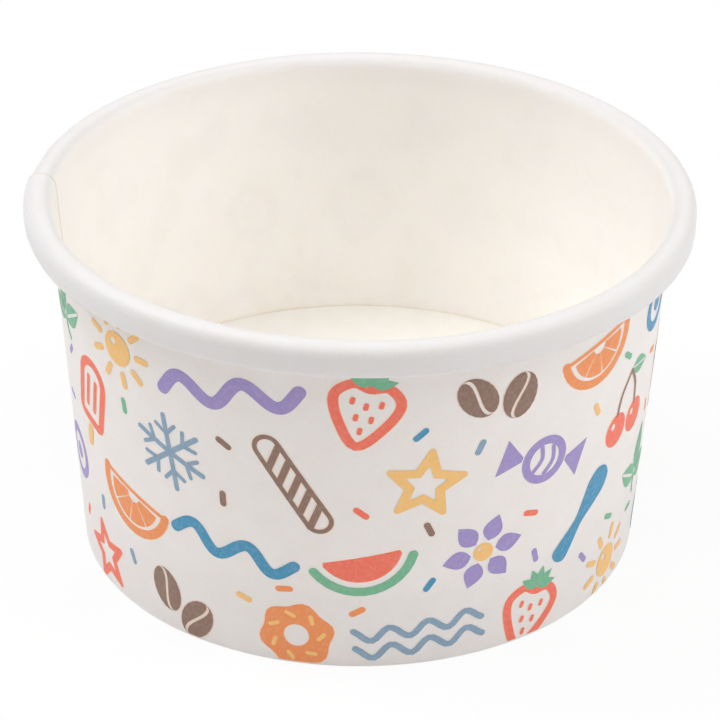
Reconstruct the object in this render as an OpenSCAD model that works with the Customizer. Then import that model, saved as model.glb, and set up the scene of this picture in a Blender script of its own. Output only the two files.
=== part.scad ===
// Paper ice cream cup: one printed board wrapped into a tapered wall, with a
// rolled rim, a lap seam and a folded foot that grips the skirt of a pressed
// base disc. +Z up, origin at the middle of the foot.

/* [Cup] */
// Height from the foot to the top of the rim
cup_height = 50; // [35:0.5:80]
// Outer diameter over the rolled rim
rim_diameter = 87; // [84:0.1:92]
// Diameter between the wall's inner faces, at the height of the rim
mouth_diameter = 80.6; // [78:0.1:82]
// Outer diameter of the foot
foot_diameter = 74.8; // [66:0.1:79]

/* [Wall board] */
// Thickness of the wall board
board = 0.35; // [0.25:0.01:0.5]
// Length of the straight flank outside the rolled rim
rim_flank = 1.5; // [0.4:0.1:4]
// Gap between the end of the roll and the wall
roll_gap = 0.15; // [0.1:0.01:0.3]
// Share of the flank's height that the tucked end reaches up inside the roll
roll_tuck = 0.7; // [0.2:0.1:1]

/* [Lap seam] */
// Width of the lap where the board's two ends are sealed, at the foot
lap_width = 3.5; // [3:0.5:12]
// How far the seal presses the two layers of the lap into each other
lap_press = 0.05; // [0.03:0.01:0.1]
// Direction of the inner end of the board, counter-clockwise from +X
seam_angle = 177; // [0:1:360]

/* [Foot] */
// Height of the board folded up inside the foot
hem_height = 9; // [5:0.5:10]
// Radius of the fold's two corners
fold_radius = 0.4; // [0.2:0.05:0.5]

/* [Base disc] */
// Height of the disc's upper face, the floor of the cup
floor_height = 11.9; // [10.5:0.1:16]
// Thickness of the disc board
disc_board = 0.3; // [0.2:0.01:0.45]
// Radius of the bend between the floor and the skirt
skirt_bend = 1.2; // [0.8:0.1:2]
// Least gap of the glue line on each side of the skirt
glue_gap = 0.05; // [0.03:0.01:0.15]
// Gap between the skirt's lower edge and the fold
skirt_lift = 0.3; // [0.1:0.05:1]

/* [Hidden] */
$fn = 120;
arc_steps = 20;

rim_radius = rim_diameter / 2;
mouth_radius = mouth_diameter / 2;
foot_radius = foot_diameter / 2;

// The wall is a cone: its faces move out by slope for each millimetre up.
slope = (mouth_radius - foot_radius + board) / cup_height;
taper = atan(slope);
function wall_outer(z) = foot_radius + slope * z;
function wall_inner(z) = wall_outer(z) - board;

// The board's two ends overlap, so the wall is a spiral of one turn. It is drawn
// as two half turns about centres that lie spiral_step either side of the axis.
spiral_step = (board - lap_press) / 4;
lap_angle = lap_width / foot_radius * 180 / PI;

// The round skirt hangs in the pocket between the wall and the hem, clear of the
// spiral where it comes closest.
skirt_gap = glue_gap + 2 * spiral_step;
function skirt_outer(z) = wall_inner(z) - skirt_gap;
function skirt_inner(z) = skirt_outer(z) - disc_board;
function hem_outer(z) = skirt_inner(z) - skirt_gap;
function hem_inner(z) = hem_outer(z) - board;

// The roll leaves the wall in a wide arc over the top, falls straight down
// outside, and turns back to the wall in a tighter arc underneath.
crown_radius = (rim_radius - mouth_radius) * cos(taper) / (1 + cos(taper) - sin(taper));
crown_centre = [rim_radius - crown_radius, cup_height - crown_radius];
curl_height = crown_centre.y - rim_flank;
curl_radius = (rim_radius - wall_outer(curl_height) - roll_gap) / 2;
curl_centre = [rim_radius - curl_radius, curl_height];
tuck_rise = rim_flank * roll_tuck;
tuck_end = [rim_radius - 2 * curl_radius + slope * tuck_rise, curl_height + tuck_rise];
lap_top = curl_height - curl_radius / 2;

function arc(centre, radius, from, to) = [
    for (i = [0 : arc_steps])
        let (a = from + (to - from) * i / arc_steps)
        centre + radius * [cos(a), sin(a)]
];

// Face of the board towards the inside of the cup, from the hem to the tuck.
inside_face = concat(
    [
        [hem_outer(hem_height), hem_height],
        [hem_outer(board), board],
        [wall_inner(board), board]
    ],
    arc(crown_centre, crown_radius, 180 - taper, 0),
    arc(curl_centre, curl_radius, 0, -180),
    [tuck_end]
);

// Printed face of the board, from the tuck back to the hem.
printed_face = concat(
    [tuck_end + [board, 0]],
    arc(curl_centre, curl_radius - board, -180, 0),
    arc(crown_centre, crown_radius - board, 0, 180 - taper),
    arc([wall_outer(fold_radius) - fold_radius, fold_radius], fold_radius, 0, -90),
    arc([hem_inner(fold_radius) + fold_radius, fold_radius], fold_radius, -90, -180),
    [[hem_inner(hem_height), hem_height]]
);

// Cut through the whole board: hem, fold, wall and roll.
module board_section() {
    polygon(concat(inside_face, printed_face));
}

// Cut through the wall alone, where the outer end of the board laps the inner.
module lap_section() {
    polygon([
        [wall_inner(fold_radius), fold_radius],
        [wall_outer(fold_radius), fold_radius],
        [wall_outer(lap_top), lap_top],
        [wall_inner(lap_top), lap_top]
    ]);
}

// Turns a section about a centre that lies shift from the axis along +X, at a
// radius that is wider by the same shift.
module turn(from, angle, shift) {
    translate([shift, 0, 0])
        rotate([0, 0, from])
            rotate_extrude(angle = angle)
                translate([shift, 0])
                    children();
}

module sidewall() {
    color("#f3f0ed")
        rotate([0, 0, seam_angle]) {
            turn(0, 180, -spiral_step) board_section();
            turn(180, 180, spiral_step) board_section();
            turn(0, lap_angle, spiral_step) lap_section();
        }
}

// Cut through half of the disc: floor, bend and skirt.
module disc_section() {
    bend_z = floor_height - skirt_bend;
    bend_r = skirt_outer(bend_z) - skirt_bend / cos(taper);
    skirt_foot = board + skirt_lift;
    polygon(concat(
        [[0, floor_height]],
        arc([bend_r, bend_z], skirt_bend, 90, -taper),
        [
            [skirt_outer(skirt_foot), skirt_foot],
            [skirt_inner(skirt_foot), skirt_foot]
        ],
        arc([bend_r, bend_z], skirt_bend - disc_board, -taper, 90),
        [[0, floor_height - disc_board]]
    ));
}

module base_disc() {
    color("#f2ede6")
        rotate_extrude()
            disc_section();
}

sidewall();
base_disc();
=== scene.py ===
import math

import bmesh
import bpy
from mathutils import Matrix, Vector, noise
from mathutils.bvhtree import BVHTree


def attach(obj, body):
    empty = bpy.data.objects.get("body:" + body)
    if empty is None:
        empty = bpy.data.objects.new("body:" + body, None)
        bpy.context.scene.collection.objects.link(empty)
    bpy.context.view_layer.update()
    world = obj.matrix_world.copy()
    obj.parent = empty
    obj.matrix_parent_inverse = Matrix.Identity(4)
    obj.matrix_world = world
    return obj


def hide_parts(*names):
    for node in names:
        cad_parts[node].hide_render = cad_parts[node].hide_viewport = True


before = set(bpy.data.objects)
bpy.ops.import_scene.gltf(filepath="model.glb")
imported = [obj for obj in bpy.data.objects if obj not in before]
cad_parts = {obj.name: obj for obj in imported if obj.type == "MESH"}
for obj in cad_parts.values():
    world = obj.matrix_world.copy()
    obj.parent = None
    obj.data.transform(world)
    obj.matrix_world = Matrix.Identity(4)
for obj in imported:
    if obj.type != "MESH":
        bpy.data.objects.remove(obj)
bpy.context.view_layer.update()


# Side wall. One blank of white coated board makes the whole outside of the cup: its upper edge
# is rolled outwards into a hollow rim, its lower edge is folded inwards and up as a hem, and its
# two ends are heat sealed in a lap on the left. Sizes are in millimetres until the mesh is done.
MM = 0.001
board = 0.35
cup_height = 50.0
rim_radius = 43.5
mouth_radius = 40.3
foot_radius = 37.2
hem_height = 9.0
fold_radius = 0.4
pocket = 0.7
rim_flank = 1.5
roll_gap = 0.15
tuck_rise = 1.05

slope = (mouth_radius - foot_radius + board) / cup_height
taper = math.atan(slope)
crown_radius = (rim_radius - mouth_radius) * math.cos(taper) / (1 + math.cos(taper) - math.sin(taper))
crown_r = rim_radius - crown_radius
crown_z = cup_height - crown_radius
curl_z = crown_z - rim_flank
curl_radius = (rim_radius - foot_radius - slope * curl_z - roll_gap) / 2
curl_r = rim_radius - curl_radius


def wall_outer(z):
    return foot_radius + slope * z


def hem_inner(z):
    return wall_outer(z) - 2 * board - pocket


# The cut edge of the board is drawn first, along its printed face, from the hem to the tuck.
def run(edge, tip, r, z, pieces=1):
    start, end = tip.co.copy(), Vector((r, 0, z))
    for k in range(pieces):
        tip = bmesh.ops.extrude_vert_indiv(edge, verts=[tip])["verts"][0]
        tip.co = start.lerp(end, (k + 1) / pieces)
    return tip


def bend(edge, tip, r, z, degrees, pieces):
    turned = bmesh.ops.spin(edge, geom=[tip], cent=(r, 0, z), axis=(0, 1, 0),
                            angle=math.radians(degrees), steps=pieces)
    return [v for v in turned["geom_last"] if isinstance(v, bmesh.types.BMVert)][0]


blank = bmesh.new()
tip = blank.verts.new((hem_inner(hem_height), 0, hem_height))
tip = run(blank, tip, hem_inner(fold_radius), fold_radius, 8)
tip = bend(blank, tip, tip.co.x + fold_radius, fold_radius, -90, 3)
tip = run(blank, tip, wall_outer(fold_radius) - fold_radius, 0, 2)
tip = bend(blank, tip, tip.co.x, fold_radius, -90, 4)
inner_crown = crown_radius - board
tip = run(blank, tip, crown_r - inner_crown * math.cos(taper), crown_z + inner_crown * math.sin(taper), 52)
tip = bend(blank, tip, crown_r, crown_z, 180 - math.degrees(taper), 14)
tip = run(blank, tip, tip.co.x, curl_z, 2)
curl_start = len(blank.verts)
tip = bend(blank, tip, curl_r, curl_z, 180, 10)
tip = run(blank, tip, tip.co.x + slope * tuck_rise, curl_z + tuck_rise, 2)

# Each point of the edge keeps the way its printed face looks, and how far it is tucked, which grows
# from a few points into the curl up to the end of the board.
tuck_after = 4
tuck_over = 8
printed_side = blank.verts.layers.float_vector.new("printed_side")
tucked = blank.verts.layers.float.new("tucked")
edge_points = list(blank.verts)
for i, v in enumerate(edge_points):
    before = edge_points[max(i - 1, 0)].co
    after = edge_points[min(i + 1, len(edge_points) - 1)].co
    along = (after - before).normalized()
    v[printed_side] = Vector((along.z, 0, -along.x))
    v[tucked] = min(max((i - curl_start - tuck_after) / tuck_over, 0), 1)

# The edge is drawn out into the blank, one turn and a lap long, and its strips are cut finer. At the
# lap the inner end gives way by its share of a layer, and the outer end by the rest.
strips_per_turn = 67
cuts = 6
strip = 360 / strips_per_turn
lap_angle = strip
seam_angle = 177.0
seal = 0.012
layer = board + seal
inner_share = 0.75
raw_strip = 0.55
on_cut = 0.00001
bmesh.ops.spin(blank, geom=blank.verts[:] + blank.edges[:], cent=(0, 0, 0), axis=(0, 0, 1),
               dvec=(0, strip, 0), angle=0, steps=strips_per_turn + 1)
bmesh.ops.subdivide_edges(blank, cuts=cuts, edges=[
    e for e in blank.edges if abs(e.verts[0].co.y - e.verts[1].co.y) > strip / 2])
bmesh.ops.bisect_plane(blank, geom=blank.verts[:] + blank.edges[:] + blank.faces[:], dist=on_cut,
                       plane_co=(0, raw_strip, 0), plane_no=(0, 1, 0))


def ease(t):
    t = min(max(t, 0), 1)
    return t * t * (3 - 2 * t)


# Beside the lap the wall springs back within a few degrees, the stiff roll only after more.
wall_ease = 4.0
roll_ease = 20.0
stiff_from = 38.0
stiff_over = 10.0


def lapped(turn, z):
    """How far the inner end of the board is pushed in by the outer end behind it."""
    stiff = ease((z - stiff_from) / stiff_over)
    return 1 - ease((turn - lap_angle) / (wall_ease + (roll_ease - wall_ease) * stiff))


# The soft board isn't quite round. Each wave about the axis has a size and a phase in radians.
rim_oval, rim_oval_phase = 0.10, 3.49
rim_lobes, rim_lobes_phase = 0.09, 3.45
foot_shift, foot_shift_phase = 0.13, 3.47
foot_oval, foot_oval_phase = 0.15, 0.93
ripple = 0.04
rim_wave = 0.09


def out_of_round(a, z):
    """How far the soft board stands out from a true circle."""
    high = z / cup_height
    rim = rim_oval * math.cos(2 * a - rim_oval_phase) + rim_lobes * math.cos(3 * a - rim_lobes_phase)
    foot = foot_shift * math.cos(a - foot_shift_phase) + foot_oval * math.cos(2 * a - foot_oval_phase)
    fine = ripple * noise.noise(Vector((3 * math.cos(a), 3 * math.sin(a), 0.05 * z)))
    return high ** 2 * rim + (1 - high) ** 2 * foot + fine


# The hem is knurled where a wheel presses it against the skirt.
knurls = 117
knurl_depth = 0.05
knurl_low = 0.8
knurl_high = hem_height - 0.4
knurl_fade = 1.0


def wrapped(r, z, side, tuck, turn):
    """The place in the finished cup of a point of the blank, turn degrees from its inner end."""
    outer_end = ease((turn - 360 + roll_ease) / roll_ease)
    inner_end = lapped(turn, z)
    a = math.radians(seam_angle + turn)
    if side.x < -0.5 and z < hem_height and r < foot_radius:
        pressed = ease((z - knurl_low) / knurl_fade) * ease((knurl_high - z) / knurl_fade)
        r += knurl_depth * math.cos(knurls * a) * pressed
        r -= layer * (inner_share * inner_end + (1 + inner_share) * outer_end)
    else:
        out = layer * ((1 - inner_share) * outer_end - inner_share * inner_end)
        r += side.x * out + tuck * layer * max(outer_end, inner_end)
        z += side.z * out if z > 1 else max(-side.z, 0) * layer * inner_end
    r += out_of_round(a, z)
    around = Vector((math.cos(a), math.sin(a), 0))
    z += (z / cup_height) ** 6 * rim_wave * noise.noise(around * 2.3 + Vector((4.1, 0.7, 2.2)))
    return Vector((r * around.x, r * around.y, z))


for v in blank.verts:
    v.co = wrapped(v.co.x, v.co.z, v[printed_side], v[tucked], v.co.y)


# The board gets its thickness on the side away from the print. Its faces and its cut edges
# take different finishes.
def facing(made, way):
    """Turn the faces of an open sheet so that the most of them look the given way."""
    bmesh.ops.recalc_face_normals(made, faces=made.faces[:])
    if sum(f.normal.dot(way(f.calc_center_median())) * f.calc_area() for f in made.faces) < 0:
        bmesh.ops.reverse_faces(made, faces=made.faces[:])


def from_axis(place):
    """Away from the cup's axis, on the plain stretch of the wall only."""
    plain = hem_height < place.z < curl_z - 2 * curl_radius
    return Vector((place.x, place.y, 0)).normalized() if plain else Vector((0, 0, 0))


facing(blank, from_axis)
printed_faces = set(blank.faces)
thick = bmesh.ops.solidify(blank, geom=blank.faces[:], thickness=board)
coated_faces = {f for f in thick["geom"] if isinstance(f, bmesh.types.BMFace)}
for f in blank.faces:
    f.smooth = True
    f.material_index = 0 if f in printed_faces else 1 if f in coated_faces else 2

# The seal crushes the very end of the inner layer, so a thin line of raw board shows over the rim.
for f in coated_faces:
    place = f.calc_center_median()
    if (math.degrees(math.atan2(place.y, place.x)) - seam_angle) % 360 < raw_strip:
        f.material_index = 2


def finished(name, made, materials, body, sharp=35):
    """Bring a mesh made in millimetres to metres, as a piece of the cup that rides on a body."""
    bmesh.ops.scale(made, vec=(MM, MM, MM), verts=made.verts)
    mesh = bpy.data.meshes.new(name)
    made.to_mesh(mesh)
    made.free()
    mesh.set_sharp_from_angle(angle=math.radians(sharp))
    for m in materials:
        mesh.materials.append(m)
    piece = bpy.data.objects.new(name, mesh)
    bpy.context.scene.collection.objects.link(piece)
    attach(piece, body)
    return piece


def srgb(*levels):
    """A colour as it is read off a screen, 0 to 255, for a shader socket."""
    shares = [level / 255 for level in levels]
    return tuple(((c + 0.055) / 1.055) ** 2.4 if c > 0.04 else c / 12.92 for c in shares) + (1,)


# Painted shade: the roll is coloured darker and cooler over its crest, across a line that falls outwards.
shade_slant = 0.35
shade_start = mouth_radius + shade_slant * cup_height - 0.70
shade_full = mouth_radius + shade_slant * cup_height + 0.45


def paper(name, light, dark, rough, fibre, shade_over_roll=None):
    """Board: a cloudy white with fine fibres in it, matt or satin, that lets a little light through.
    Over the roll of the rim its colour may be darkened by a painted shade."""
    m = bpy.data.materials.new(name)
    m.use_nodes = True
    nodes, links = m.node_tree.nodes, m.node_tree.links
    shader = nodes["Principled BSDF"]
    where = nodes.new("ShaderNodeTexCoord")
    cloud = nodes.new("ShaderNodeTexNoise")
    cloud.inputs["Scale"].default_value = 260
    cloud.inputs["Detail"].default_value = 5
    links.new(where.outputs["Object"], cloud.inputs["Vector"])
    tint = nodes.new("ShaderNodeValToRGB")
    tint.color_ramp.elements[0].position = 0.32
    tint.color_ramp.elements[0].color = dark
    tint.color_ramp.elements[1].position = 0.68
    tint.color_ramp.elements[1].color = light
    links.new(cloud.outputs["Fac"], tint.inputs["Fac"])
    fleck = nodes.new("ShaderNodeTexNoise")
    fleck.inputs["Scale"].default_value = 2600
    fleck.inputs["Detail"].default_value = 3
    links.new(where.outputs["Object"], fleck.inputs["Vector"])
    fleck_tint = nodes.new("ShaderNodeValToRGB")
    fleck_tint.color_ramp.elements[0].position = 0.30
    fleck_tint.color_ramp.elements[0].color = (0.93, 0.925, 0.915, 1)
    fleck_tint.color_ramp.elements[1].position = 0.50
    fleck_tint.color_ramp.elements[1].color = (1, 1, 1, 1)
    links.new(fleck.outputs["Fac"], fleck_tint.inputs["Fac"])
    both = nodes.new("ShaderNodeMix")
    both.data_type = "RGBA"
    both.blend_type = "MULTIPLY"
    both.inputs["Factor"].default_value = fibre
    links.new(tint.outputs["Color"], both.inputs["A"])
    links.new(fleck_tint.outputs["Color"], both.inputs["B"])
    links.new(both.outputs["Result"], shader.inputs["Base Color"])
    # Painted shade over the roll, laid on by radius and height.
    if shade_over_roll:
        level = nodes.new("ShaderNodeVectorMath")
        level.operation = "MULTIPLY"
        level.inputs[1].default_value = (1, 1, 0)
        links.new(where.outputs["Object"], level.inputs[0])
        reach = nodes.new("ShaderNodeVectorMath")
        reach.operation = "LENGTH"
        links.new(level.outputs["Vector"], reach.inputs[0])
        apart = nodes.new("ShaderNodeSeparateXYZ")
        links.new(where.outputs["Object"], apart.inputs[0])
        over = nodes.new("ShaderNodeMath")
        over.operation = "MULTIPLY_ADD"
        over.inputs[1].default_value = shade_slant
        links.new(apart.outputs["Z"], over.inputs[0])
        links.new(reach.outputs["Value"], over.inputs[2])
        on_roll = nodes.new("ShaderNodeMapRange")
        on_roll.interpolation_type = "SMOOTHSTEP"
        on_roll.inputs["From Min"].default_value = shade_start * MM
        on_roll.inputs["From Max"].default_value = shade_full * MM
        links.new(over.outputs[0], on_roll.inputs["Value"])
        rolled = nodes.new("ShaderNodeMix")
        rolled.data_type = "RGBA"
        rolled.blend_type = "MULTIPLY"
        rolled.inputs["B"].default_value = shade_over_roll
        links.new(on_roll.outputs["Result"], rolled.inputs["Factor"])
        links.new(both.outputs["Result"], rolled.inputs["A"])
        links.new(rolled.outputs["Result"], shader.inputs["Base Color"])
    sheen = nodes.new("ShaderNodeMapRange")
    sheen.inputs["To Min"].default_value = rough - 0.06
    sheen.inputs["To Max"].default_value = rough + 0.06
    links.new(cloud.outputs["Fac"], sheen.inputs["Value"])
    links.new(sheen.outputs["Result"], shader.inputs["Roughness"])
    uneven = nodes.new("ShaderNodeTexNoise")
    uneven.inputs["Scale"].default_value = 700
    uneven.inputs["Detail"].default_value = 6
    uneven.inputs["Roughness"].default_value = 0.65
    links.new(where.outputs["Object"], uneven.inputs["Vector"])
    bump = nodes.new("ShaderNodeBump")
    bump.inputs["Strength"].default_value = 0.2
    bump.inputs["Distance"].default_value = 0.0001
    links.new(uneven.outputs["Fac"], bump.inputs["Height"])
    links.new(bump.outputs["Normal"], shader.inputs["Normal"])
    shader.inputs["Specular IOR Level"].default_value = 0.3
    shader.inputs["Subsurface Weight"].default_value = 0.2
    shader.inputs["Subsurface Radius"].default_value = (1.0, 0.85, 0.65)
    shader.inputs["Subsurface Scale"].default_value = 0.0005
    return m


printed_board = paper("printed_board", srgb(244, 239, 236), srgb(242, 236, 232), 0.52, 0.3)
# Painted shade for the roll: darker and a little cooler than the board inside the cup.
roll_painted_shade = (0.822, 0.83, 0.86, 1)
coated_board = paper("coated_board", srgb(254, 250, 246), srgb(253, 248, 242), 0.42, 0.25, roll_painted_shade)
cut_board = paper("cut_board", srgb(230, 223, 209), srgb(220, 212, 197), 0.75, 1.0)
side_wall = finished("side_wall", blank, [printed_board, coated_board, cut_board], "root")
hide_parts("sidewall")


# Base disc. A round of the same white board, thinner, with its edge pressed down into a skirt.
# The skirt is glued inside the wall and held there by the hem, so the floor stands well above
# the foot.
disc_board = 0.3
floor_height = 11.9
skirt_bend = 0.15
skirt_gap = 0.04
skirt_foot = 0.65
seat_width = 2.0
crease_shade_width = 0.4
floor_swell = 0.22
swell_edge = 14.0
floor_dish = 0.15
dish_radius = 24.0


def skirt_outer(z):
    return wall_outer(z) - board - skirt_gap


bend_z = floor_height - skirt_bend
bend_r = skirt_outer(bend_z) - skirt_bend / math.cos(taper)
disc = bmesh.new()
tip = disc.verts.new((0, 0, floor_height))
tip = run(disc, tip, bend_r, floor_height, 14)
tip = bend(disc, tip, bend_r, bend_z, 90 + math.degrees(taper), 8)
tip = run(disc, tip, skirt_outer(skirt_foot), skirt_foot, 5)
bmesh.ops.spin(disc, geom=disc.verts[:] + disc.edges[:], cent=(0, 0, 0), axis=(0, 0, 1),
               angle=math.tau, steps=256, use_merge=True)
bmesh.ops.remove_doubles(disc, verts=disc.verts, dist=0.0001)
for v in disc.verts:
    out = math.hypot(v.co.x, v.co.y)
    if v.co.z > bend_z:
        swell = floor_swell * noise.noise(Vector((v.co.x, v.co.y, 0)) * 0.05)
        dish = floor_dish * ease((dish_radius - out) / dish_radius)
        v.co.z += swell * ease((bend_r - out) / swell_edge) - dish
    a = math.atan2(v.co.y, v.co.x)
    turn = (math.degrees(a) - seam_angle) % 360
    beside_lap = max(lapped(turn, v.co.z), ease((turn - 360 + wall_ease) / wall_ease))
    pushed = beside_lap * layer * inner_share if out > bend_r - seat_width else 0
    if out > 0:
        v.co.xy *= 1 + out_of_round(a, v.co.z) / bend_r - pushed / out


def upwards(place):
    return Vector((0, 0, 1))


facing(disc, upwards)
floor_faces = set(disc.faces)
bmesh.ops.solidify(disc, geom=disc.faces[:], thickness=disc_board)
for f in disc.faces:
    f.smooth = True
    f.material_index = 0 if f in floor_faces else 1

# Painted shade: along the bend the floor is coloured a warmer yellow, for the warm shade in the crease.
for f in floor_faces:
    place = f.calc_center_median()
    if place.z > bend_z and math.hypot(place.x, place.y) > bend_r - crease_shade_width:
        f.material_index = 2

disc_top = paper("disc_top", srgb(243, 240, 235), srgb(240, 236, 230), 0.5, 0.3)
disc_under = paper("disc_under", srgb(238, 234, 228), srgb(231, 226, 218), 0.7, 1.0)
# Painted shade of the crease, warm and yellow.
disc_crease_shade = paper("disc_crease_shade", srgb(251, 239, 213), srgb(247, 232, 203), 0.6, 0.4)
base_disc = finished("base_disc_board", disc, [disc_top, disc_under, disc_crease_shade], "root")
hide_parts("base_disc")


# Print. The blank is printed flat, in eight inks a little out of register, before it is cut and
# wrapped: sweets and fruit that run off under the rim and over the foot. Each ink, and the pale
# fringe beside some, is a film drawn flat with a pen in millimetres and wrapped with the board.
inks = {
    "fringe": srgb(252, 214, 184),
    "lavender": srgb(164, 148, 203),
    "coral": srgb(250, 121, 98),
    "orange": srgb(246, 152, 92),
    "green": srgb(122, 188, 150),
    "blue": srgb(141, 168, 190),
    "teal": srgb(76, 152, 190),
    "brown": srgb(147, 118, 104),
    "amber": srgb(252, 201, 126),
}


def spots(*places):
    return [Vector(p) for p in places]


def arc(x, y, radius, start, end):
    """Points along an arc, one about every ten degrees."""
    pieces = max(3, round(abs(end - start) / 10))
    turns = [math.radians(start + (end - start) * k / pieces) for k in range(pieces + 1)]
    return [Vector((x + radius * math.cos(t), y + radius * math.sin(t))) for t in turns]


def through(*places, closed=False, pieces=5):
    """A smooth line through given places."""
    points = spots(*places)
    count = len(points)
    line = []
    for i in range(count if closed else count - 1):
        if closed:
            p, q, r, s = (points[(i + k) % count] for k in (-1, 0, 1, 2))
        else:
            p, q, r, s = (points[min(max(i + k, 0), count - 1)] for k in (-1, 0, 1, 2))
        for k in range(pieces):
            t = k / pieces
            line.append(q + (r - p) * (t / 2) + (p - 2.5 * q + 2 * r - s / 2) * t ** 2
                        + (3 * (q - r) + s - p) * (t ** 3 / 2))
    return line if closed else line + [points[-1]]


# Fills of one ink that overlap lie a hair apart, so that no two faces fall together.
hair = 0.0015
hair_levels = 7


def fill(art, one_side, other_side):
    """Ink between two lines of as many points."""
    columns = len(one_side) - 1
    lift = hair * (len(art.faces) % hair_levels)
    made = bmesh.ops.create_grid(art, x_segments=columns, y_segments=1, size=1)
    for v in made["verts"]:
        k = round((v.co.x + 1) / 2 * columns)
        side = one_side if v.co.y < 0 else other_side
        v.co = (side[k].x, side[k].y, lift)


def stroke(art, line, width, closed=False):
    """One pen stroke along a line, with round ends, or joined up."""
    last = len(line) - 1
    left, right = [], []

    def nib(place, way, half):
        across = Vector((-way.y, way.x)) * half
        left.append(place + across)
        right.append(place - across)

    ways = []
    for i in range(last + 1):
        before = line[i - 1 if i or closed else 0]
        after = line[(i + 1) % (last + 1) if closed else min(i + 1, last)]
        ways.append((after - before).normalized())
    round_end = [math.radians(t) for t in (12, 35, 60)]
    if not closed:
        for t in round_end:
            nib(line[0] - ways[0] * (width / 2 * math.cos(t)), ways[0], width / 2 * math.sin(t))
    for place, way in zip(line, ways):
        nib(place, way, width / 2)
    if closed:
        nib(line[0], ways[0], width / 2)
    else:
        for t in reversed(round_end):
            nib(line[last] + ways[last] * (width / 2 * math.cos(t)), ways[last], width / 2 * math.sin(t))
    fill(art, left, right)


def ball(art, x, y, radius):
    """A round berry with a small bare highlight."""
    fill(art, arc(x, y, radius, 0, 360), arc(x - radius * 0.3, y + radius * 0.36, radius * 0.2, 0, 360))


def leaf(art, x, y, angle, length, width, rib=0.0):
    """A pointed leaf from its foot, in one piece or in two halves beside a bare rib, which end a
    little apart."""
    way = Vector((math.cos(math.radians(angle)), math.sin(math.radians(angle))))
    across = Vector((-way.y, way.x))
    steps = [k / 8 for k in range(9)]
    foot = Vector((x, y))
    middle = [foot + way * (length * t) for t in steps]
    parted = 0.01 if rib else 0
    swell = [max(width / 2 * math.sin(math.pi * t ** 0.8), parted) for t in steps]
    for side in (1, -1):
        rail = [p + across * (side * min(rib / 2, s)) for p, s in zip(middle, swell)]
        fill(art, rail, [p + across * (side * s) for p, s in zip(middle, swell)])


def lolly(pen, ink):
    body = arc(0, 3.4, 2.7, 0, 180) + arc(-1.9, -2.2, 0.8, 180, 270) + arc(1.9, -2.2, 0.8, 270, 360)
    stroke(pen[ink], body, 1.2, closed=True)
    stroke(pen[ink], spots((-0.9, -0.9), (-0.9, 3.6)), 0.75)
    stroke(pen[ink], spots((0.9, -0.9), (0.9, 3.6)), 0.75)
    stroke(pen["amber"], spots((0, -4.6), (0, -6.6)), 1.4)


def cherries(pen, ink):
    ball(pen[ink], -2.4, -2.6, 2.3)
    ball(pen[ink], 2.5, -3.3, 2.3)
    stroke(pen["brown"], through((-2.2, -0.5), (-1.3, 2.0), (1.0, 4.4)), 0.5)
    stroke(pen["brown"], through((2.3, -1.2), (2.2, 1.8), (1.0, 4.4)), 0.5)
    leaf(pen["green"], 1.2, 4.5, -14, 4.4, 2.4, 0.3)


def star(pen, ink):
    outside, inside = [], []
    for k in range(6):
        way = Matrix.Rotation(math.radians(72 * k), 2)
        outside += [way @ p for p in spots((0.3, 4.55), (0, 4.7), (-0.3, 4.55), (-1.41, 1.94))]
        inside += [way @ p for p in spots((0.04, 2.4), (0, 2.44), (-0.04, 2.4), (-0.7, 0.96))]
    fill(pen[ink], outside[:-3], inside[:-3])


def candy(pen, ink):
    stroke(pen[ink], arc(0, 0, 2.5, 0, 350), 1.05, closed=True)
    stroke(pen[ink], through((-1.0, -1.5), (-0.4, 0), (-1.0, 1.5)), 0.55)
    stroke(pen[ink], through((0.6, -1.7), (1.2, 0), (0.6, 1.7)), 0.55)
    for side in (-1, 1):
        upper = spots((3.2 * side, 0.3), (4.3 * side, 1.1), (5.9 * side, 2.3))
        lower = spots((3.2 * side, -0.3), (4.3 * side, -1.1), (5.9 * side, -2.3))
        fill(pen[ink], upper, lower)


def wave(pen, ink):
    stroke(pen[ink], [Vector((x / 3, 1.6 * math.sin(x * 0.24))) for x in range(-28, 29)], 1.8)


def ripples(pen, ink):
    for rise in (-1.5, 0.9):
        line = [Vector((x / 2, rise + 0.8 * math.sin(x * 0.7))) for x in range(-15, 16)]
        stroke(pen[ink], line, 0.8)


def strawberry(pen, ink):
    body = through((0, -5.2), (-2.6, -2.2), (-3.7, 1.0), (-2.0, 2.9), (0, 2.5), (2.0, 2.9), (3.7, 1.0),
                   (2.6, -2.2), closed=True)
    stroke(pen[ink], body, 1.15, closed=True)
    for x, y in ((-1.6, 0.9), (0, 0.4), (1.6, 0.9), (-0.8, -1.2), (0.9, -1.2), (0, -2.9)):
        stroke(pen[ink], spots((x, y), (x, y - 0.45)), 0.55)
    for angle in (20, 55, 90, 125, 160):
        out = Matrix.Rotation(math.radians(angle), 2) @ Vector((0.1, 0))
        leaf(pen["green"], out.x, 2.9 + out.y, angle, 2.8, 1.3)


def citrus(pen, ink):
    stroke(pen[ink], arc(0, 2.0, 5.2, 180, 360), 1.1)
    for k in range(4):
        start = 184 + 44 * k
        fill(pen[ink], arc(0, 1.6, 1.0, start, start + 40), arc(0, 1.6, 3.9, start, start + 40))
    stroke(pen[ink], spots((-5.2, 2.0), (5.2, 2.0)), 0.5)


def paddle(pen, ink):
    """The flat spoon that goes with the cup."""
    half = through((0.4, -7.4), (1.5, -6.6), (1.3, -4.0), (0.9, -1.0), (1.6, 2.0), (2.2, 4.6),
                   (1.7, 6.6), (0.4, 7.4))
    fill(pen[ink], half, [Vector((-p.x, p.y)) for p in half])


def snowflake(pen, ink):
    for k in range(6):
        spoke = Matrix.Rotation(math.radians(60 * k + 30), 2)
        stroke(pen[ink], [spoke @ p for p in spots((0.2, 0), (4.6, 0))], 0.65)
        for side in (-1, 1):
            stroke(pen[ink], [spoke @ p for p in spots((2.3, 0), (3.4, 1.3 * side))], 0.5)


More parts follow.
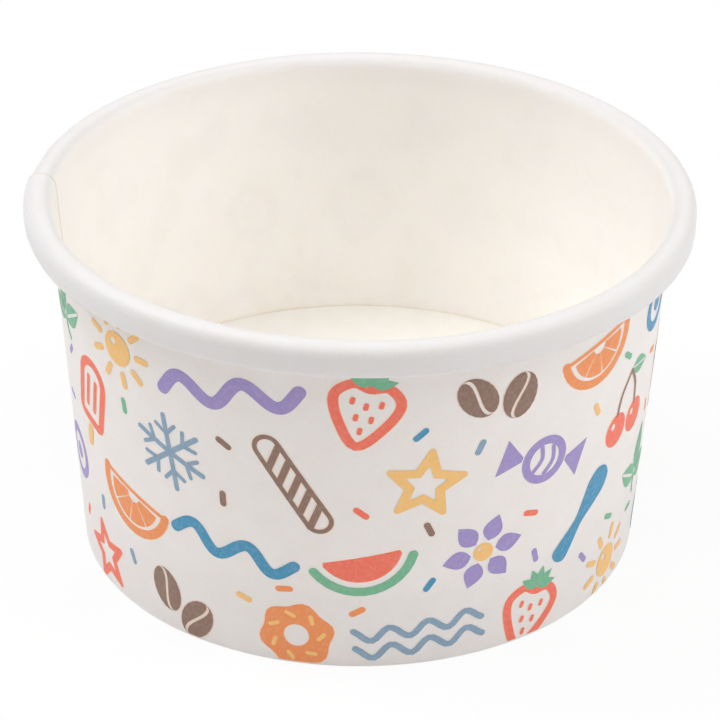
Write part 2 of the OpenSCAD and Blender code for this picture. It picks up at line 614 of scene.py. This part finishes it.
def mint(pen, ink):
    leaf(pen[ink], 0.2, -2.4, 18, 5.6, 3.0, 0.4)
    leaf(pen[ink], -0.2, -2.4, 162, 5.6, 3.0, 0.4)
    leaf(pen[ink], 0, -1.6, 90, 6.2, 3.2, 0.4)
    stroke(pen[ink], through((0, -2.6), (0.2, -3.8), (0.8, -4.8)), 0.55)


def beans(pen, ink):
    """Two coffee beans, each with a bare crease."""
    steps = [t / 10 * math.pi for t in range(11)]
    for x, y, lean in ((-2.4, 0.8, 28), (2.5, -0.9, -20)):
        turn = Matrix.Rotation(math.radians(lean), 2)
        place = Vector((x, y))
        for side in (-1, 1):
            husk = spots(*((side * 2.1 * math.sin(t), 3.0 * math.cos(t)) for t in steps))
            crease = spots(*((0.5 * math.sin(2 * t) + side * 0.22, 2.9 * math.cos(t)) for t in steps))
            fill(pen[ink], [turn @ p + place for p in husk], [turn @ p + place for p in crease])


def flower(pen, ink):
    for k in range(6):
        way = math.radians(60 * k)
        leaf(pen[ink], 1.5 * math.cos(way), 1.5 * math.sin(way), 60 * k, 3.4, 2.4)
    ball(pen["amber"], 0, 0, 1.2)


def sun(pen, ink):
    ball(pen[ink], 0, 0, 2.2)
    for k in range(9):
        way = Vector((math.cos(math.radians(40 * k)), math.sin(math.radians(40 * k))))
        stroke(pen[ink], [way * 3.3, way * 4.7], 0.85)


def ring(pen, ink):
    stroke(pen[ink], arc(0, 0, 3.0, 0, 350), 1.2, closed=True)
    ball(pen[ink], 0, 0, 1.1)


def melon(pen, ink):
    stroke(pen[ink], arc(0, 3.0, 6.2, 205, 335), 1.1)
    flesh = arc(0, 3.0, 4.9, 205, 335)
    top = flesh[0].lerp(flesh[-1], 0.5).y
    fill(pen["coral"], flesh, [Vector((p.x * 0.97, top + 0.5)) for p in flesh])


def wafer(pen, ink):
    """A rolled wafer with its wound stripes."""
    roll = arc(0, 5.0, 1.3, 0, 180) + arc(0, -5.0, 1.3, 180, 360)
    stroke(pen[ink], roll, 0.5, closed=True)
    for k in range(5):
        stroke(pen[ink], spots((-1.2, 2.0 * k - 5.2), (1.2, 2.0 * k - 3.4)), 0.75)


def shake(pen, ink):
    """A tall ribbed glass in fine line, with foam, a berry and a straw."""
    stroke(pen["teal"], spots((1.7, 4.8), (3.3, 8.2)), 0.85)
    stroke(pen[ink], spots((-3.3, 2.2), (-2.3, -7.0)), 0.55)
    stroke(pen[ink], spots((3.3, 2.2), (2.3, -7.0)), 0.55)
    stroke(pen[ink], spots((-2.5, -7.1), (2.5, -7.1)), 0.9)
    stroke(pen[ink], spots((-3.6, 2.4), (3.6, 2.4)), 0.7)
    for share in (-0.5, 0, 0.5):
        stroke(pen[ink], spots((3.2 * share, 0.8), (2.4 * share, -5.8)), 0.45)
    for x in (-1.9, 0, 1.9):
        stroke(pen[ink], arc(x, 3.2, 1.1, 180, 0), 0.55)
    ball(pen["coral"], -0.9, 5.9, 1.25)


def doughnut(pen, ink):
    """A ring with wavy icing and sugar sprinkles."""
    turns = [math.radians(10 * k) for k in range(37)]
    icing = [Vector((math.cos(t), math.sin(t))) * (4.2 + 0.3 * math.sin(6 * t)) for t in turns]
    fill(pen[ink], icing, arc(0, 0, 1.5, 0, 360))
    for k in range(7):
        way = Matrix.Rotation(math.radians(51 * k), 2)
        stroke(pen["amber"], [way @ p for p in spots((2.6, -0.3), (3.2, 0.4))], 0.5)


def sprinkle(pen, ink):
    stroke(pen[ink], spots((-0.75, 0), (0.75, 0)), 0.85)


# Where each is printed: degrees to the right of the front, height, lean to the left, and size.
layout = [
    # Under the rim
    (mint, "green", -72, 39.8, 12, 1.1), (sun, "amber", -49, 40.0, 0, 1.1),
    (wave, "lavender", -24, 39.6, 8, 1.0), (strawberry, "coral", 1, 39.8, -12, 1.1),
    (beans, "brown", 25, 39.4, 10, 1.1), (citrus, "orange", 48, 39.8, 14, 1.1),
    (ring, "teal", 71, 40.2, 0, 1.1), (star, "coral", 96, 40.0, 10, 1.1),
    (ripples, "blue", 120, 39.4, -6, 1.1), (lolly, "orange", 144, 39.4, 18, 1.0),
    (mint, "green", 168, 40.0, -14, 1.1), (candy, "lavender", 192, 39.6, 20, 1.1),
    (beans, "brown", 216, 40.0, 0, 1.1), (cherries, "coral", 240, 39.6, -8, 1.05),
    (snowflake, "blue", 262, 39.8, 0, 1.1),
    # Above the middle
    (lolly, "coral", -61, 28.2, -14, 1.05), (snowflake, "blue", -37, 28.2, 8, 1.15),
    (wafer, "brown", -12, 27.8, 32, 1.2), (star, "amber", 12, 28.0, -8, 1.15),
    (candy, "lavender", 36, 27.8, -18, 1.15), (cherries, "coral", 60, 29.0, 6, 1.05),
    (shake, "brown", 84, 27.6, 10, 0.94), (citrus, "orange", 108, 27.8, -12, 1.1),
    (wave, "teal", 133.5, 27.8, 10, 0.92), (flower, "lavender", 157, 28.2, 0, 1.1),
    (strawberry, "coral", 180, 28.0, 14, 1.1), (ring, "green", 204, 28.0, 0, 1.1),
    (paddle, "teal", 228, 28.2, 32, 1.0), (star, "amber", 252, 28.2, 6, 1.1),
    # Below the middle
    (ring, "lavender", -73, 16.4, 0, 1.1), (citrus, "orange", -49, 16.6, -16, 1.15),
    (wave, "teal", -24.5, 16.2, -10, 0.9), (melon, "green", 1, 15.8, 12, 1.15),
    (flower, "lavender", 24, 16.2, 10, 1.15), (paddle, "teal", 48, 16.0, -38, 0.95),
    (mint, "green", 72, 16.4, -10, 1.1), (beans, "brown", 96, 16.2, 16, 1.1),
    (candy, "coral", 120, 16.0, -14, 1.1), (snowflake, "blue", 144, 16.4, 0, 1.1),
    (shake, "brown", 168, 16.6, 12, 0.92), (sun, "amber", 192, 16.2, 0, 1.1),
    (wave, "lavender", 216, 16.0, 12, 1.0), (lolly, "coral", 240, 16.6, -16, 1.0),
    (mint, "green", 262, 16.2, 14, 1.1),
    # Round the foot
    (star, "coral", -61, 4.8, 12, 1.1), (beans, "brown", -37, 4.8, -12, 1.1),
    (doughnut, "orange", -12, 4.6, 0, 1.15), (ripples, "blue", 12, 4.8, 6, 1.15),
    (strawberry, "coral", 36, 4.6, -16, 1.1), (sun, "amber", 60, 4.6, 0, 1.1),
    (ring, "teal", 84, 4.6, 0, 1.1), (melon, "green", 108, 4.8, -10, 1.1),
    (star, "amber", 132, 4.6, 0, 1.1), (cherries, "coral", 156, 4.8, 8, 1.05),
    (wave, "teal", 180, 4.6, -8, 0.9), (citrus, "orange", 205, 4.8, 12, 1.1),
    (doughnut, "lavender", 228, 4.6, 0, 1.1), (beans, "brown", 252, 4.8, 20, 1.1),
]

# Sprinkles fill the bare places between the rows, a little unevenly.
sprinkle_rows = ((12, 36.2), (0, 32.4), (0, 24.4), (12, 20.6), (12, 12.4), (0, 8.6))
sprinkle_columns = 14
sprinkle_spread = 24
sprinkle_drift = 2.2
sprinkle_rise = 0.7
sprinkle_inks = [ink for ink in inks if ink != "fringe"]
for k in range(sprinkle_columns):
    for shift, level in sprinkle_rows:
        degrees = sprinkle_spread * (k - 3) + shift + sprinkle_drift * math.sin(2.4 * k + level)
        height = level + sprinkle_rise * math.cos(1.7 * k + level)
        ink = sprinkle_inks[(3 * k + round(level)) % len(sprinkle_inks)]
        layout.append((sprinkle, ink, degrees, height, 50 * k + 7 * level, 1.0))

# Where the films lie on the blank, how they are cut into cells that bend with it, and how thick they
# are. An ink overprints the one before it.
front_turn = 270 - seam_angle
mm_per_degree = math.radians(wall_outer(cup_height / 2))
column, row = 0.8, 1.6
bleed_low, bleed_high = 0.45, 45.6
film = 0.014
film_gap = 0.006
overprint = 0.004
off_register = Vector((0.10, -0.05, 0))
fringed = ("coral", "orange", "brown")
bare_margin = 1.0
wall_side = Vector((math.cos(taper), 0, -math.sin(taper)))
films = {ink: bmesh.new() for ink in inks}
taken = []


def cut(art, place, way, keep=True):
    geometry = art.verts[:] + art.edges[:] + art.faces[:]
    bmesh.ops.bisect_plane(art, geom=geometry, dist=on_cut, plane_co=place, plane_no=way,
                           clear_outer=not keep)


def put_down(art, ink, degrees, height, lean, size):
    """Bring one ink of a motif to its place on the blank, trim it there and cut it into small cells.
    A fringed ink also leaves its shape a little to one side and to the other."""
    place = Matrix.Translation((degrees * mm_per_degree, height, 0))
    spin = Matrix.Rotation(math.radians(lean), 4, "Z") @ Matrix.Diagonal((size, size, 1, 1))
    bmesh.ops.transform(art, matrix=place @ spin, verts=art.verts)
    cut(art, (0, bleed_low, 0), (0, -1, 0), keep=False)
    cut(art, (0, bleed_high, 0), (0, 1, 0), keep=False)
    wide = [v.co.x for v in art.verts]
    tall = [v.co.y for v in art.verts]
    taken.append((min(wide) - bare_margin, max(wide) + bare_margin,
                  min(tall) - bare_margin, max(tall) + bare_margin))
    for k in range(math.ceil(min(wide) / column), math.floor(max(wide) / column) + 1):
        cut(art, (k * column, 0, 0), (1, 0, 0))
    for k in range(math.ceil(min(tall) / row), math.floor(max(tall) / row) + 1):
        cut(art, (0, k * row, 0), (0, 1, 0))
    bmesh.ops.remove_doubles(art, verts=art.verts, dist=0.0005)
    bmesh.ops.recalc_face_normals(art, faces=art.faces[:])
    bmesh.ops.reverse_faces(art, faces=[f for f in art.faces if f.normal.z < 0])
    flat = bpy.data.meshes.new("flat")
    art.to_mesh(flat)
    films[ink].from_mesh(flat)
    if ink in fringed:
        for slip in (off_register, off_register * -2):
            bmesh.ops.translate(art, vec=slip, verts=art.verts)
            art.to_mesh(flat)
            films["fringe"].from_mesh(flat)
    bpy.data.meshes.remove(flat)


for draw, ink, degrees, height, lean, size in layout:
    over = degrees * mm_per_degree
    if draw is sprinkle and any(left < over < right and low < height < high
                                for left, right, low, high in taken):
        continue
    pen = {name: bmesh.new() for name in inks}
    draw(pen, ink)
    for name, art in pen.items():
        if art.faces:
            put_down(art, name, degrees, height, lean, size)
        art.free()

# The board is so thin that the print shows through it, very faintly, on the inside of the cup.
soft_edge = 0.6
show_through = (0.989, 0.988, 0.987, 1)
prints = [BVHTree.FromBMesh(made) for ink, made in films.items() if ink != "fringe"]
wall_mesh = side_wall.data
inside_faces = [f for f in wall_mesh.polygons if f.material_index == 1 and f.center.z > floor_height * MM]
cover = [0.0] * len(wall_mesh.vertices)
for i in {i for f in inside_faces for i in f.vertices}:
    place = wall_mesh.vertices[i].co / MM
    turn = (math.degrees(math.atan2(place.y, place.x)) - seam_angle) % 360
    spot = Vector(((turn - front_turn) * mm_per_degree, place.z, 0))
    found = [tree.find_nearest(spot, soft_edge)[3] for tree in prints]
    cover[i] = 1 - ease(min([d for d in found if d is not None], default=soft_edge) / soft_edge)
wall_mesh.attributes.new("print_behind", "FLOAT", "POINT").data.foreach_set("value", cover)
nodes, links = coated_board.node_tree.nodes, coated_board.node_tree.links
board_colour = nodes["Principled BSDF"].inputs["Base Color"]
behind = nodes.new("ShaderNodeAttribute")
behind.attribute_name = "print_behind"
shown = nodes.new("ShaderNodeMix")
shown.data_type = "RGBA"
shown.blend_type = "MULTIPLY"
shown.inputs["B"].default_value = show_through
links.new(behind.outputs["Fac"], shown.inputs["Factor"])
links.new(board_colour.links[0].from_socket, shown.inputs["A"])
links.new(shown.outputs["Result"], board_colour)


def ink_film(name, colour):
    """Printing ink: a little thinner in places, with the finest pin holes, and half matt."""
    m = bpy.data.materials.new(name)
    m.use_nodes = True
    nodes, links = m.node_tree.nodes, m.node_tree.links
    shader = nodes["Principled BSDF"]
    where = nodes.new("ShaderNodeTexCoord")
    density = nodes.new("ShaderNodeTexNoise")
    density.inputs["Scale"].default_value = 1800
    density.inputs["Detail"].default_value = 4
    links.new(where.outputs["Object"], density.inputs["Vector"])
    ramp = nodes.new("ShaderNodeValToRGB")
    ramp.color_ramp.elements[0].position = 0.30
    ramp.color_ramp.elements[0].color = tuple(c + (1 - c) * 0.07 for c in colour[:3]) + (1,)
    ramp.color_ramp.elements[1].position = 0.55
    ramp.color_ramp.elements[1].color = colour
    links.new(density.outputs["Fac"], ramp.inputs["Fac"])
    links.new(ramp.outputs["Color"], shader.inputs["Base Color"])
    gloss = nodes.new("ShaderNodeMapRange")
    gloss.inputs["To Min"].default_value = 0.42
    gloss.inputs["To Max"].default_value = 0.58
    links.new(density.outputs["Fac"], gloss.inputs["Value"])
    links.new(gloss.outputs["Result"], shader.inputs["Roughness"])
    shader.inputs["Specular IOR Level"].default_value = 0.3
    return m


for order, (ink, colour) in enumerate(inks.items()):
    made = films[ink]
    for v in made.verts:
        turn = front_turn + v.co.x / mm_per_degree
        lift = film_gap + film + overprint * order + v.co.z
        v.co = wrapped(wall_outer(v.co.y) + lift, v.co.y, wall_side, 0, turn)
    made.normal_update()
    bmesh.ops.solidify(made, geom=made.faces[:], thickness=film)
    piece = finished("print_" + ink, made, [ink_film("ink_" + ink, colour)], "root")


# Floor and light. A plain white sweep under three soft boxes, one above and one on each side, with
# some light from all round. The floor shows white and keeps the cup's shadow.
def white_where_seen(name, share, colour):
    """Diffuse white for the light, nearly plain white for the eye."""
    m = bpy.data.materials.new(name)
    m.use_nodes = True
    nodes, links = m.node_tree.nodes, m.node_tree.links
    nodes.remove(nodes["Principled BSDF"])
    out = nodes["Material Output"]
    matt = nodes.new("ShaderNodeBsdfDiffuse")
    matt.inputs["Color"].default_value = colour
    glow = nodes.new("ShaderNodeEmission")
    glow.inputs["Strength"].default_value = 1.0
    path = nodes.new("ShaderNodeLightPath")
    seen = nodes.new("ShaderNodeMath")
    seen.operation = "MAXIMUM"
    links.new(path.outputs["Is Camera Ray"], seen.inputs[0])
    links.new(path.outputs["Is Glossy Ray"], seen.inputs[1])
    through_glass = nodes.new("ShaderNodeMath")
    through_glass.operation = "MAXIMUM"
    links.new(seen.outputs[0], through_glass.inputs[0])
    links.new(path.outputs["Is Transmission Ray"], through_glass.inputs[1])
    part = nodes.new("ShaderNodeMath")
    part.operation = "MULTIPLY"
    part.inputs[1].default_value = share
    links.new(through_glass.outputs[0], part.inputs[0])
    mix = nodes.new("ShaderNodeMixShader")
    links.new(part.outputs[0], mix.inputs["Fac"])
    links.new(matt.outputs[0], mix.inputs[1])
    links.new(glow.outputs[0], mix.inputs[2])
    links.new(mix.outputs[0], out.inputs["Surface"])
    return m


sweep = bmesh.new()
bmesh.ops.create_circle(sweep, cap_ends=True, segments=96, radius=3000)
bmesh.ops.scale(sweep, vec=(MM, MM, MM), verts=sweep.verts)
sweep_mesh = bpy.data.meshes.new("sweep")
sweep.to_mesh(sweep_mesh)
sweep.free()
sweep_mesh.materials.append(white_where_seen("sweep_white", 0.90, (0.89, 0.89, 0.89, 1)))
floor = bpy.data.objects.new("sweep", sweep_mesh)
bpy.context.scene.collection.objects.link(floor)


def softbox(name, watts, tint, size, place, aim):
    lamp = bpy.data.lights.new(name, "AREA")
    lamp.energy = watts
    lamp.color = tint
    lamp.shape = "RECTANGLE"
    lamp.size, lamp.size_y = size
    box = bpy.data.objects.new(name, lamp)
    box.location = place
    box.rotation_euler = (Vector(aim) - Vector(place)).to_track_quat("-Z", "Y").to_euler()
    bpy.context.scene.collection.objects.link(box)


softbox("over", 5.15, (0.995, 1, 0.96), (1.1, 1.1), (-0.16, -0.14, 0.88), (0, 0, 0.03))
softbox("right", 3.45, (0.96, 0.98, 1), (0.6, 0.8), (0.74, -0.12, 0.50), (0, 0, 0.02))
softbox("left", 3.7, (0.90, 0.935, 1), (0.5, 0.6), (-0.62, 0.14, 0.76), (0, 0, 0.02))

world = bpy.data.worlds.new("studio")
bpy.context.scene.world = world
world.use_nodes = True
nodes, links = world.node_tree.nodes, world.node_tree.links
sky = nodes["Background"]
sky.inputs["Color"].default_value = (1, 0.96, 0.945, 1)
sky.inputs["Strength"].default_value = 0.305
seen_sky = nodes.new("ShaderNodeBackground")
seen_sky.inputs["Color"].default_value = (1, 1, 1, 1)
seen_sky.inputs["Strength"].default_value = 1.0
path = nodes.new("ShaderNodeLightPath")
mix = nodes.new("ShaderNodeMixShader")
links.new(path.outputs["Is Camera Ray"], mix.inputs["Fac"])
links.new(sky.outputs[0], mix.inputs[1])
links.new(seen_sky.outputs[0], mix.inputs[2])
links.new(mix.outputs[0], nodes["World Output"].inputs["Surface"])


# Camera. It looks down on the cup from in front, as the photograph does, from about 0.4 m with
# a long lens, and leans by less than half a degree.
camera = bpy.data.cameras.new("camera")
camera.sensor_width = 36
camera.lens = 153.8
camera.clip_start = 0.01
eye = bpy.data.objects.new("camera", camera)
aim = Vector((-0.043, 0, 23.875)) * MM
distance = 411.58 * MM
down = math.radians(29.454)
lean = 0.0082
eye.location = aim + Vector((0, -math.cos(down), math.sin(down))) * distance
tilted = Matrix.Rotation(math.pi / 2 - down, 3, "X") @ Matrix.Rotation(lean, 3, "Z")
eye.rotation_euler = tilted.to_euler()
bpy.context.scene.collection.objects.link(eye)
bpy.context.scene.camera = eye
bpy.context.scene.view_settings.view_transform = "Standard"
